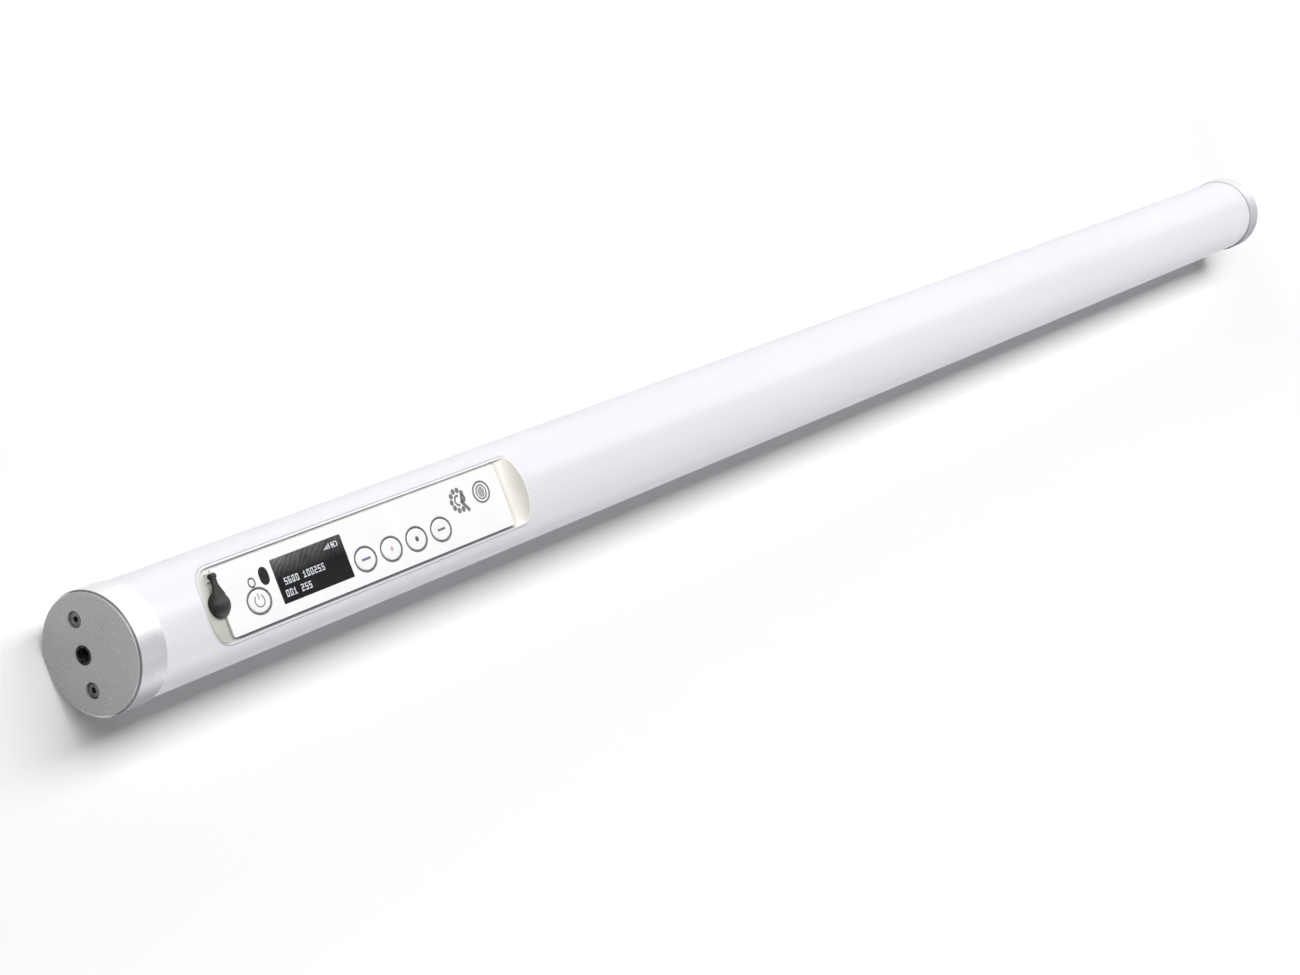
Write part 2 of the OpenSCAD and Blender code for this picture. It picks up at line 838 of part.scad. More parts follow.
module charge_inlet() color([0.12, 0.12, 0.12]) {
    translate([along(inlet_at), 0, 0]) difference() {
        raised(inlet_base, inlet_top) circle(inlet_d / 2);
        raised(inlet_base + inlet_bottom, inlet_top + 1) circle(inlet_bore_d / 2);
    }
}

module charge_pin() color([0.8, 0.7, 0.4]) {
    translate([along(inlet_at), 0, 0])
        raised(inlet_base + inlet_bottom, inlet_top - inlet_pin_back)
            circle(inlet_pin_d / 2);
}

// a cradle under the strap's round end
module strap_anchor() color([0.14, 0.14, 0.14]) {
    translate([along(inlet_at), strap_len, 0]) difference() {
        raised(recess_floor, hinge_z - strap_t / 2 - strap_lift)
            square([2 * cradle_half, 2 * (knuckle_r + cradle_end)], center = true);
        translate([0, 0, hinge_z]) rotate([0, 90, 0])
            cylinder(h = 3 * strap_w, r = knuckle_r + joint_gap, center = true);
    }
}

// domed head, tapered stem, and a strap that ends in a round knuckle
module charge_plug() color([0.14, 0.14, 0.14]) {
    head_r = plug_d / 2;
    stem_r = inlet_bore_d / 2 - 0.2;
    translate([along(inlet_at), 0, recess_floor]) {
        rotate_extrude() {
            intersection() {
                translate([0, fit_gap]) square([head_r, plug_h]);
                translate([0, plug_h - plug_dome_r]) circle(plug_dome_r);
            }
            polygon([[0, -plug_stem], [stem_r - 0.4 * plug_stem, -plug_stem],
                [stem_r, 0], [stem_r, 2 * fit_gap], [0, 2 * fit_gap]]);
        }
        raised(strap_rise - strap_t / 2, strap_rise + strap_t / 2)
            polygon([[-head_r * 0.6, 0], [-head_r * 0.6, head_r * 0.7],
                [-strap_w / 2, head_r * 1.5], [-strap_w / 2, strap_len],
                [strap_w / 2, strap_len], [strap_w / 2, head_r * 1.5],
                [head_r * 0.6, head_r * 0.7], [head_r * 0.6, 0]]);
        translate([0, strap_len, strap_rise]) rotate([0, 90, 0])
            cylinder(h = strap_w, r = knuckle_r, center = true);
    }
}

diffuser_tube();
near_end_cap();
far_end_cap();
near_thread_insert();
far_thread_insert();
near_seal();
far_seal();
near_cap_screws();
far_cap_screws();
carrier_profile();
light_baffle();
led_boards();
led_emitters();
battery_cells();
battery_insulators();
battery_sleeve();
battery_pad();
panel_tray();
tray_posts();
tray_screws();
panel_label();
display_window();
display_panel();
display_pad();
power_key();
menu_key();
back_key();
enter_key();
mode_key();
dome_switches();
ir_window();
ir_receiver();
status_lens();
status_led();
control_board();
board_screws();
radio_module();
driver_board();
driver_standoffs();
driver_parts();
charge_inlet();
charge_pin();
strap_anchor();
charge_plug();
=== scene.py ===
import json
import math

import bmesh
import bpy
from mathutils import Matrix, Vector


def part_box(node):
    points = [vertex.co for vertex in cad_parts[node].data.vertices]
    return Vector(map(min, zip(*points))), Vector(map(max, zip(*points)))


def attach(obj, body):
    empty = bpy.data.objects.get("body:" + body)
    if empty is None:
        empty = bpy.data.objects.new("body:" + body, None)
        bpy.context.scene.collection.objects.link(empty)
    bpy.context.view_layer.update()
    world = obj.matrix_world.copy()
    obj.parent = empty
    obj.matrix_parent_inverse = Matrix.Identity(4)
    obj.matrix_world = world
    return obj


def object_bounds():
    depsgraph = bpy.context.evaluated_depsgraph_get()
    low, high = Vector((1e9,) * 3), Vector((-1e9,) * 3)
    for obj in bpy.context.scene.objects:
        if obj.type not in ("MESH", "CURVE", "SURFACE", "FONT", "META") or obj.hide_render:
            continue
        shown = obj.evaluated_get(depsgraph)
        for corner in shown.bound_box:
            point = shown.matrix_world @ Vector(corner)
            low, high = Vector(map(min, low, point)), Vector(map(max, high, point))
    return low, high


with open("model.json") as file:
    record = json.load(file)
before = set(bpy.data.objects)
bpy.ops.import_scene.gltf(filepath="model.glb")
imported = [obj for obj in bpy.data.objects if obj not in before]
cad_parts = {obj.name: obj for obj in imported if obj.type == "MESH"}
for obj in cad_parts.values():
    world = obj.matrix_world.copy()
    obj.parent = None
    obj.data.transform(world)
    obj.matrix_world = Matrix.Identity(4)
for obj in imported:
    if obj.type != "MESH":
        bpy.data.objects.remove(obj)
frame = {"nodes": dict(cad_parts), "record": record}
nodes = frame["nodes"]
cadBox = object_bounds()
for plain in bpy.data.materials:
    plain.name = "cad_" + plain.name      # leaves the plain names to the finishes below
print("frame loaded:", len(nodes), "parts")


# small tools for node trees

class Link:  # a link in a node tree; an expression on links adds Math nodes
    def __init__(self, tree, socket):
        self.tree = tree
        self.socket = socket

    def __add__(self, other):
        return self.tree.maths("ADD", self, other)

    def __sub__(self, other):
        return self.tree.maths("SUBTRACT", self, other)

    def __rsub__(self, other):
        return self.tree.maths("SUBTRACT", other, self)

    def __mul__(self, other):
        return self.tree.maths("MULTIPLY", self, other)

    __radd__ = __add__
    __rmul__ = __mul__


class Tree:  # adds nodes by type, settings first, then the values or links of their sockets
    def __init__(self, nodeTree):
        self.nodeTree = nodeTree

    def add(self, kind, settings=None, inputs=None, output=0):
        node = self.nodeTree.nodes.new(kind)
        for name, value in (settings or {}).items():
            setattr(node, name, value)
        for name, value in (inputs or {}).items():
            self.feed(node.inputs[name], value)
        return Link(self, node.outputs[output])

    def feed(self, socket, value):
        if isinstance(value, Link):
            self.nodeTree.links.new(value.socket, socket)
        elif value is not None:
            socket.default_value = value

    def maths(self, operation, *values):
        return self.add("ShaderNodeMath", {"operation": operation}, dict(enumerate(values)))


class Finish(Tree):  # one material: a Principled shader and the patterns that feed it
    def __init__(self, name, **constants):
        self.material = bpy.data.materials.new(name)
        self.material.use_nodes = True
        super().__init__(self.material.node_tree)
        self.shader = self.nodeTree.nodes["Principled BSDF"]
        for socket, value in constants.items():
            self.shader.inputs[socket.replace("_", " ")].default_value = value

    def place(self, stretch=(1, 1, 1), turn=0.0):
        where = self.add("ShaderNodeTexCoord", output="Object")
        return self.add("ShaderNodeMapping", {}, {
            "Vector": where, "Scale": stretch, "Rotation": (0, 0, math.radians(turn))})

    def axes(self, names="XYZ"):
        split = self.add("ShaderNodeSeparateXYZ", {}, {0: self.place()}).socket.node
        return [Link(self, split.outputs[name]) for name in names]

    def noise(self, size, detail=3, stretch=(1, 1, 1)):
        return self.add("ShaderNodeTexNoise", {}, {
            "Vector": self.place(stretch), "Scale": 1 / size, "Detail": detail})

    def cells(self, size):
        return self.add("ShaderNodeTexVoronoi", {}, {"Vector": self.place(), "Scale": 1 / size})

    def waves(self, pitch, direction="X", bend=0.0, turn=0.0):
        unitPitch = 0.314      # from crest to crest at scale 1
        return self.add("ShaderNodeTexWave", {"bands_direction": direction}, {
            "Vector": self.place(turn=turn), "Scale": unitPitch / pitch,
            "Distortion": bend}, output=1)

    # low where the value is fromLow, high where it is fromHigh; the sets call these two a cut
    def spread(self, value, low, high, fromLow=0.3, fromHigh=0.7):
        return self.add("ShaderNodeMapRange", {}, {
            0: value, 1: fromLow, 2: fromHigh, 3: low, 4: high})

    def mix(self, factor, first, second):
        return self.add("ShaderNodeMix", {"data_type": "RGBA"},
                        {0: factor, 6: first, 7: second}, output=2)

    def relief(self, height, depth, under=None):
        return self.add("ShaderNodeBump", {}, {
            "Height": height, "Distance": depth, "Normal": under})

    def finish(self, colour, roughness, relief=None, **others):
        self.feed(self.shader.inputs["Base Color"], colour)
        self.feed(self.shader.inputs["Roughness"], roughness)
        self.feed(self.shader.inputs["Normal"], relief)
        for socket, value in others.items():
            self.feed(self.shader.inputs[socket.replace("_", " ")], value)
        return self.material


def tone(red, green, blue):  # a screen colour, 0 to 255, as a linear one
    def linear(part):
        part = part / 255
        return part / 12.92 if part <= 0.04045 else ((part + 0.055) / 1.055) ** 2.4
    return (linear(red), linear(green), linear(blue), 1)


# camera, floor and light

cameraSet = {
    "place": (-1.17334, 0.01031, 0.67717),
    "target": (-0.18316, -0.01996, 0),
    "roll": 70.44,
    "lens": 79,
    "clip": (0.05, 20),
}


def makeCamera(values):
    place = Vector(values["place"])
    ahead = (Vector(values["target"]) - place).normalized()
    level = ahead.cross(Vector((0, 0, 1))).normalized()
    over = level.cross(ahead)
    roll = math.radians(values["roll"])
    right = math.cos(roll) * level + math.sin(roll) * over
    up = math.cos(roll) * over - math.sin(roll) * level
    turned = Matrix((right, up, -ahead)).transposed().to_4x4()
    data = bpy.data.cameras.new("camera")
    data.lens = values["lens"]
    data.clip_start, data.clip_end = values["clip"]
    camera = bpy.data.objects.new("camera", data)
    camera.matrix_world = Matrix.Translation(place) @ turned
    bpy.context.scene.collection.objects.link(camera)
    bpy.context.scene.camera = camera


lightSet = {
    "softboxes": {
        "key": {"tilt": 24.5, "distance": 3.4, "size": (8, 1.36), "power": 198, "shift": 0},
        "front_fill": {"tilt": -86, "distance": 2.0, "size": (3.4, 0.24), "power": 25,
                       "shift": 0.4},
        "back_fill": {"tilt": 86, "distance": 2.0, "size": (3.4, 0.24), "power": 9,
                      "shift": 0.2},
    },
    "skyLevel": 0.06,      # what the surroundings light the object with
    "floorSize": 12,
    "floorGap": 0.00005,   # from the object down to the floor
    "floorTone": (0.97, 0.97, 0.97, 1),
    "grainTone": (0.95545, 0.95545, 0.95545, 1),
    "grainSize": 0.004,
    "floorRough": (0.85, 0.95),
    "bounceTone": (0.3, 0.3, 0.3, 1),      # what the floor throws back on the object
    "floorLift": 0.02,     # glow of the floor beside the object, as the camera sees it
    "farLift": 0.34,       # and further out
    "liftFrom": 0.07, "liftTo": 0.45,
}


def makeSoftbox(name, tilt, distance, size, power, shift):  # tilt: degrees from up, towards +Y
    data = bpy.data.lights.new(name, "AREA")
    data.shape = "RECTANGLE"
    data.size, data.size_y = size
    data.energy = power
    softbox = bpy.data.objects.new(name, data)
    back = Vector((0, math.sin(math.radians(tilt)), math.cos(math.radians(tilt))))
    across = Vector((1, 0, 0))
    turned = Matrix((across, back.cross(across), back)).transposed().to_4x4()
    softbox.matrix_world = Matrix.Translation(back * distance + across * shift) @ turned
    bpy.context.scene.collection.objects.link(softbox)


def looks(tree):  # 1 for the rays that see a background, 0 for those that light the object
    rays = tree.add("ShaderNodeLightPath").socket.node.outputs
    camera, glossy, through = [Link(tree, rays[name]) for name in (
        "Is Camera Ray", "Is Glossy Ray", "Is Transmission Ray")]
    return tree.maths("MAXIMUM", camera, tree.maths("MAXIMUM", glossy, through))


def makeSky(values):
    world = bpy.data.worlds.new("studio")
    world.use_nodes = True
    bpy.context.scene.world = world
    sky = Tree(world.node_tree)
    background = world.node_tree.nodes["Background"]
    sky.feed(background.inputs["Color"], (1, 1, 1, 1))
    sky.feed(background.inputs["Strength"],
             looks(sky) * (1 - values["skyLevel"]) + values["skyLevel"])


def makeFloor(values):
    half = values["floorSize"] / 2
    low = cadBox[0].z - values["floorGap"]
    sheet = bpy.data.meshes.new("floor")
    sheet.from_pydata([(-half, -half, low), (half, -half, low), (half, half, low),
                       (-half, half, low)], [], [(0, 1, 2, 3)])
    floor = bpy.data.objects.new("floor", sheet)
    bpy.context.scene.collection.objects.link(floor)
    paper = Finish("studio_floor", Specular_IOR_Level=0.1)
    grain = paper.noise(values["grainSize"])
    x, y = paper.axes("XY")
    aside = paper.maths("ABSOLUTE", y)
    beyond = paper.maths("ABSOLUTE", x) - cadBox[1].x
    far = paper.spread(paper.maths("MAXIMUM", aside, beyond), values["floorLift"],
                       values["farLift"], values["liftFrom"], values["liftTo"])
    paper.feed(paper.shader.inputs["Emission Strength"], looks(paper))
    paper.feed(paper.shader.inputs["Emission Color"],
               paper.mix(far, (0, 0, 0, 1), (1, 1, 1, 1)))      # black to white
    seen = paper.mix(grain, values["grainTone"], values["floorTone"])
    paper.finish(paper.mix(looks(paper), values["bounceTone"], seen),
                 paper.spread(grain, *values["floorRough"]))
    sheet.materials.append(paper.material)


makeCamera(cameraSet)
for boxName, boxValues in lightSet["softboxes"].items():
    makeSoftbox(boxName + "_softbox", **boxValues)
makeSky(lightSet)
makeFloor(lightSet)
print("camera, floor and light made")


# plain finishes: one pattern stains the colour, the same or a finer one is the relief

# stain and fine: size in metres, detail, and stretch where it has a direction
# contrast: the stain's cut; roughBy: the pattern the roughness follows, fine unless named
plainSet = {
    "dark_steel": {
        "shader": {"Metallic": 0.9}, "stain": (0.0016, 4), "fine": (0.0003, 3),
        "tones": ((38, 38, 42), (84, 82, 82)), "contrast": (0.4, 0.75),
        "rough": (0.3, 0.52), "depth": 0.000008},
    "seal_rubber": {
        "shader": {"Sheen_Weight": 0.08}, "stain": (0.0006, 4),
        "tones": ((20, 20, 21), (44, 44, 45)), "contrast": (0, 1),
        "rough": (0.55, 0.75), "depth": 0.00002},
    "screw_steel": {
        "shader": {"Metallic": 1.0}, "stain": (0.0022, 4), "fine": (0.0002, 3),
        "tones": ((84, 85, 88), (120, 119, 117)),
        "rough": (0.22, 0.4), "depth": 0.000006},
    "carrier_aluminium": {
        "shader": {"Metallic": 0.95}, "stain": (0.03, 3), "fine": (0.0006, 4, (0.006, 1, 1)),
        "tones": ((170, 172, 175), (198, 199, 201)),
        "rough": (0.3, 0.5), "depth": 0.000012},
    "baffle_plastic": {
        "shader": {"IOR": 1.49}, "stain": (0.012, 3), "fine": (0.0008, 3),
        "tones": ((232, 232, 230), (244, 244, 243)), "contrast": (0, 1),
        "rough": (0.5, 0.65), "depth": 0.00001},
    "insulator_card": {
        "stain": (0.0007, 5, (1, 0.3, 1)), "tones": ((206, 200, 178), (228, 224, 206)),
        "rough": (0.75, 0.92), "depth": 0.00004},
    "label_film": {
        "shader": {"Coat_Weight": 0.12, "Coat_Roughness": 0.35},
        "stain": (0.013, 4), "fine": (0.0011, 3), "roughBy": "stain",
        "tones": ((253, 253, 253), (247, 247, 249)), "contrast": (0.35, 0.75),
        "rough": (0.36, 0.5), "depth": 0.000006},
    "display_black": {
        "stain": (0.0006, 3), "tones": ((20, 20, 22), (46, 46, 50)), "contrast": (0, 1),
        "rough": (0.4, 0.6), "depth": 0.000012},
    "key_plastic": {
        "shader": {"IOR": 1.5, "Coat_Weight": 0.1, "Coat_Roughness": 0.3},
        "stain": (0.004, 3), "fine": (0.0003, 3), "roughBy": "stain",
        "tones": ((251, 251, 251), (243, 243, 243)), "contrast": (0.35, 0.7),
        "rough": (0.34, 0.48), "depth": 0.000006},
    "dome_metal": {
        "shader": {"Metallic": 1.0}, "stain": (0.0002, 4, (0.1, 1, 1)),
        "tones": ((188, 189, 190), (214, 214, 214)), "contrast": (0, 1),
        "rough": (0.2, 0.38), "depth": 0.000005},
    "ir_plastic": {
        "shader": {"Specular_IOR_Level": 0.2}, "stain": (0.0012, 3),
        "tones": ((8, 7, 8), (34, 30, 33)), "rough": (0.16, 0.3), "depth": 0.000005},
    "chip_plastic": {
        "stain": (0.003, 3), "fine": (0.0003, 4), "tones": ((34, 34, 36), (58, 57, 56)),
        "rough": (0.5, 0.72), "depth": 0.00001},
    "lens_clear": {
        "shader": {"Coat_Weight": 0.6, "Coat_Roughness": 0.08, "IOR": 1.49},
        "stain": (0.0008, 3), "tones": ((236, 237, 241), (252, 252, 253)),
        "rough": (0.12, 0.26), "depth": 0.000005},
    "shield_tin": {
        "shader": {"Metallic": 1.0}, "stain": (0.006, 3), "fine": (0.0005, 4, (0.1, 1, 1)),
        "tones": ((184, 185, 186), (206, 205, 200)),
        "rough": (0.26, 0.42), "depth": 0.000006},
    "inlet_plastic": {
        "stain": (0.0004, 4), "tones": ((24, 24, 25), (50, 50, 52)), "contrast": (0, 1),
        "rough": (0.4, 0.6), "depth": 0.00001},
    "pin_brass": {
        "shader": {"Metallic": 1.0}, "stain": (0.0009, 4),
        "tones": ((190, 160, 92), (222, 196, 130)),
        "rough": (0.2, 0.36), "depth": 0.000005},
    "plug_rubber": {
        "shader": {"Specular_IOR_Level": 0.35},
        "stain": (0.0026, 4), "fine": (0.0004, 4), "roughBy": "stain",
        "tones": ((24, 24, 23), (52, 51, 49)), "contrast": (0.4, 0.72),
        "rough": (0.42, 0.62), "depth": 0.000022},
}


def plainFinish(name, stain, tones, rough, depth, fine=None, contrast=(0.3, 0.7),
                roughBy="fine", shader=None):
    plain = Finish(name, **(shader or {}))
    patterns = {"stain": plain.noise(*stain)}
    patterns["fine"] = plain.noise(*fine) if fine else patterns["stain"]
    colour = plain.mix(plain.spread(patterns["stain"], 0, 1, *contrast),
                       tone(*tones[0]), tone(*tones[1]))
    return plain.finish(colour, plain.spread(patterns[roughBy], *rough),
                        plain.relief(patterns["fine"], depth))


# finishes with patterns of their own

def opalDiffuser():
    values = {"cool": tone(231, 230, 239), "clear": tone(239, 239, 246),
              "cloudSize": 0.05, "cloudStretch": (0.12, 1, 1),
              "lineSize": 0.0012, "lineStretch": (0.01, 1, 1), "lineDepth": 0.000006,
              "dust": tone(225, 224, 232), "dustSize": 0.0035, "dustCut": (0.04, 0.1),
              "dustShare": 0.25, "dustRough": 0.08, "rough": (0.34, 0.46)}
    skin = Finish("opal_diffuser", Subsurface_Weight=0.22, Subsurface_Scale=0.006,
                  Subsurface_Radius=(1.0, 0.95, 1.0), IOR=1.49, Specular_IOR_Level=0.45)
    cloud = skin.noise(values["cloudSize"], 3, values["cloudStretch"])
    drawn = skin.noise(values["lineSize"], 4, values["lineStretch"])      # drawn when extruded
    speck = skin.spread(skin.cells(values["dustSize"]), 1, 0, *values["dustCut"])
    colour = skin.mix(skin.spread(cloud, 0, 1), values["cool"], values["clear"])
    colour = skin.mix(speck * values["dustShare"], colour, values["dust"])
    rough = skin.spread(drawn, *values["rough"]) + speck * values["dustRough"]
    return skin.finish(colour, rough, skin.relief(drawn, values["lineDepth"]))


def capAluminium():
    values = {"face": (tone(146, 147, 148), tone(190, 190, 190)),
              "side": (tone(176, 177, 181), tone(198, 199, 202)),
              # painted reflections on the side: painted shade towards the front, a painted
              # highlight towards the back
              "sideShadeFront": tone(112, 111, 116), "sideHighlightBack": tone(232, 232, 230),
              # the chamfer: painted shade on its upper half, a painted highlight on its lower
              # half
              "chamferShadeTop": tone(104, 104, 106), "chamferHighlightFoot": tone(250, 250, 250),
              # least and most share of a tone, and where along y or z each is reached
              "back": (0, 0.7, -0.004, 0.012), "front": (0, 0.9, -0.008, -0.021),
              "top": (0, 1, -0.006, 0.002),
              "faceDepth": 0.0004, "chamfer": 0.0009, "blur": 0.0001,
              "gritSize": 0.00045, "gritCut": (0.35, 0.65), "gritShare": 0.55,
              "gritDepth": 0.00002,
              "patchSize": 0.011, "patchShare": 0.45,
              # bright specks: painted glints, also a little smoother
              "glint": tone(232, 232, 234), "spotSize": 0.0023, "spotCut": (0.06, 0.17),
              "spotShare": 0.4,
              "ringPitch": 0.0007, "ringDepth": 0.0000025, "rough": (0.4, 0.5),
              "faceRough": 0.1, "spotRough": 0.08}
    metal = Finish("cap_aluminium", Metallic=0.8)
    x, y, z = metal.axes()
    end = cadBox[1].x
    fromMiddle = metal.maths("ABSOLUTE", x)
    onFace = metal.spread(fromMiddle, 0, 1, end - values["faceDepth"], end - values["blur"])
    onChamfer = metal.spread(fromMiddle, 0, 1, end - values["chamfer"],
                             end - values["chamfer"] + values["blur"]) * (1 - onFace)
    grit = metal.noise(values["gritSize"], 4)
    patch = metal.noise(values["patchSize"], 4)
    glint = metal.spread(metal.cells(values["spotSize"]), 1, 0, *values["spotCut"])
    mottle = (metal.spread(grit, 0, 1, *values["gritCut"]) * values["gritShare"]
              + patch * values["patchShare"])
    around = metal.mix(mottle, *values["side"])
    # painted highlight on the side towards the back, painted shade towards the front
    around = metal.mix(metal.spread(y, *values["back"]), around, values["sideHighlightBack"])
    around = metal.mix(metal.spread(y, *values["front"]), around, values["sideShadeFront"])
    # the chamfer's painted highlight below, its painted shade above
    edge = metal.mix(metal.spread(z, *values["top"]), values["chamferHighlightFoot"],
                     values["chamferShadeTop"])
    colour = metal.mix(onFace, around, metal.mix(mottle, *values["face"]))
    # painted glints: lighter specks on the metal
    colour = metal.mix(glint * values["spotShare"], colour, values["glint"])
    colour = metal.mix(onChamfer, colour, edge)
    rough = (metal.spread(patch, *values["rough"]) + onFace * values["faceRough"]
             - glint * values["spotRough"])
    turning = metal.maths("SQRT", y * y + z * z) * (2 * math.pi / values["ringPitch"])
    height = metal.relief(grit, values["gritDepth"])
    height = metal.relief(metal.maths("SINE", turning) * onFace, values["ringDepth"], height)
    return metal.finish(colour, rough, height)


def whiteBoard():
    values = {"resist": (tone(228, 230, 224), tone(242, 243, 240)), "cloudSize": 0.02,
              "track": tone(196, 200, 188), "trackPitch": 0.0024, "trackCut": (0.82, 0.9),
              "trackShare": 0.35,
              "weaveSize": 0.0009, "weaveShare": 0.3, "depth": 0.00001, "rough": (0.36, 0.5)}
    board = Finish("white_board", Coat_Weight=0.15, Coat_Roughness=0.3)
    track = board.spread(board.waves(values["trackPitch"], "Y"), 0, 1, *values["trackCut"])
    weave = board.noise(values["weaveSize"])
    colour = board.mix(board.noise(values["cloudSize"]), *values["resist"])
    colour = board.mix(track * values["trackShare"], colour, values["track"])
    height = board.relief(track + weave * values["weaveShare"], values["depth"])
    return board.finish(colour, board.spread(weave, *values["rough"]), height)


def ledPhosphor():
    values = {"phosphor": (tone(236, 208, 104), tone(248, 231, 150)), "grainSize": 0.0005,
              "pale": tone(240, 238, 226), "paleSize": 0.004, "paleCut": (0.45, 0.7),
              "paleShare": 0.35, "depth": 0.00001, "rough": (0.25, 0.45)}
    lamp = Finish("led_phosphor", Coat_Weight=0.6, Coat_Roughness=0.15)
    grain = lamp.noise(values["grainSize"], 4)
    pale = lamp.spread(lamp.noise(values["paleSize"]), 0, values["paleShare"],
                       *values["paleCut"])
    colour = lamp.mix(lamp.spread(grain, 0, 1), *values["phosphor"])
    return lamp.finish(lamp.mix(pale, colour, values["pale"]),
                       lamp.spread(grain, *values["rough"]), lamp.relief(grain, values["depth"]))


def cellCan():
    values = {"wrap": (tone(34, 118, 134), tone(52, 142, 158)), "foldSize": 0.004,
              "foldStretch": (0.25, 1, 1), "foldDepth": 0.00003,
              "rubbed": tone(150, 176, 178), "rubSize": 0.0012, "rubCut": (0.62, 0.8),
              "rubShare": 0.5, "rough": (0.28, 0.45)}
    wrap = Finish("cell_can", Coat_Weight=0.4, Coat_Roughness=0.2)
    fold = wrap.noise(values["foldSize"], 4, values["foldStretch"])
    rub = wrap.noise(values["rubSize"], 4)
    rubbed = wrap.spread(rub, 0, values["rubShare"], *values["rubCut"])
    colour = wrap.mix(wrap.spread(fold, 0, 1), *values["wrap"])
    return wrap.finish(wrap.mix(rubbed, colour, values["rubbed"]),
                       wrap.spread(rub, *values["rough"]), wrap.relief(fold, values["foldDepth"]))


def sleevePlastic():
    values = {"blue": (tone(24, 66, 148), tone(42, 92, 178)), "pullSize": 0.006,
              "pullStretch": (0.2, 1, 1), "pullShare": 0.7, "seamSize": 0.0011,
              "seamShare": 0.3, "depth": 0.00006, "rough": (0.25, 0.42)}
    sleeve = Finish("sleeve_plastic", Coat_Weight=0.5, Coat_Roughness=0.18)
    pull = sleeve.noise(values["pullSize"], 4, values["pullStretch"])
    seam = sleeve.noise(values["seamSize"])
    height = sleeve.relief(pull * values["pullShare"] + seam * values["seamShare"],
                           values["depth"])
    return sleeve.finish(sleeve.mix(sleeve.spread(pull, 0, 1), *values["blue"]),
                         sleeve.spread(seam, *values["rough"]), height)


def foamTape():
    values = {"foam": (tone(16, 16, 17), tone(60, 60, 61)), "poreSize": 0.0007,
              "poreCut": (0.1, 0.5), "depth": 0.0001, "rough": (0.8, 0.98)}
    foam = Finish("foam_tape")
    pores = foam.cells(values["poreSize"])
    colour = foam.mix(foam.spread(pores, 0, 1, *values["poreCut"]), *values["foam"])
    return foam.finish(colour, foam.spread(pores, *values["rough"]),
                       foam.relief(pores, values["depth"]))


def trayPlastic():
    # painted shade over the near end, darkest on its front side; cream towards the far end
    values = {"nearShadeFront": tone(174, 176, 166), "nearShadeBack": tone(222, 223, 218),
              "nearHalf": 0.009, "far": tone(255, 252, 244),
              "cloud": tone(222, 221, 214), "cloudSize": 0.014, "cloudShare": 0.2,
              # step: the colour of the painted shadow beyond the label's far end
              "step": tone(208, 204, 197), "stepShare": 0.9, "stepEdge": 0.0006,
              "stepFade": 0.0042,
              "rim": tone(236, 235, 243), "rimWidth": 0.0008, "blur": 0.0001,
              # painted shade in the gutters along the label, strong on the front side, faint on
              # the back
              "gutterShade": tone(92, 92, 97), "gutterEdge": (-0.0002, 0.0001),
              "gutterStart": 0.004, "gutterEnd": 0.001,
              "frontShade": 0.95, "backShade": 0.22, "shadeHalf": 0.005,
              "grainSize": 0.00035, "depth": 0.000015, "rough": (0.42, 0.58)}
    tray = Finish("tray_plastic", IOR=1.5, Subsurface_Weight=0.08, Subsurface_Scale=0.002)
    x, y = tray.axes("XY")
    across = tray.maths("ABSOLUTE", y)
    low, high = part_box("panel_tray")
    filmLow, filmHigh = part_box("panel_label")
    grain = tray.noise(values["grainSize"], 4)
    cloud = tray.noise(values["cloudSize"])

    # painted shade at the near end, darker on the front side, fading to cream along the tray
    near = tray.mix(tray.spread(y, 0, 1, -values["nearHalf"], values["nearHalf"]),
                    values["nearShadeFront"], values["nearShadeBack"])
    colour = tray.mix(tray.spread(x, 0, 1, low.x, high.x), near, values["far"])
    colour = tray.mix(tray.spread(cloud, 0, values["cloudShare"]), colour, values["cloud"])

    edge = values["stepEdge"]      # painted shadow of the label's far end on the step beyond it
    step = tray.spread(x, 0, 1, filmHigh.x - edge, filmHigh.x) * tray.spread(
        x, values["stepShare"], 0, filmHigh.x + edge, filmHigh.x + values["stepFade"])
    colour = tray.mix(step, colour, values["step"])

    # painted shade in the gutters beside the label
    beside = tray.spread(across, 0, 1, filmHigh.y + values["gutterEdge"][0],
                         filmHigh.y + values["gutterEdge"][1])
    within = tray.spread(x, 0, 1, filmLow.x, filmLow.x + values["gutterStart"]) * tray.spread(
        x, 1, 0, filmHigh.x - values["gutterEnd"], filmHigh.x + values["gutterEnd"])
    shade = tray.spread(y, values["frontShade"], values["backShade"],
                        -values["shadeHalf"], values["shadeHalf"])
    colour = tray.mix(beside * within * shade, colour, values["gutterShade"])

    inner = high.y - values["rimWidth"]
    rim = tray.spread(across, 0, 1, inner - values["blur"], inner + values["blur"])
    colour = tray.mix(rim, colour, values["rim"])
    return tray.finish(colour, tray.spread(grain, *values["rough"]),
                       tray.relief(grain, values["depth"]))


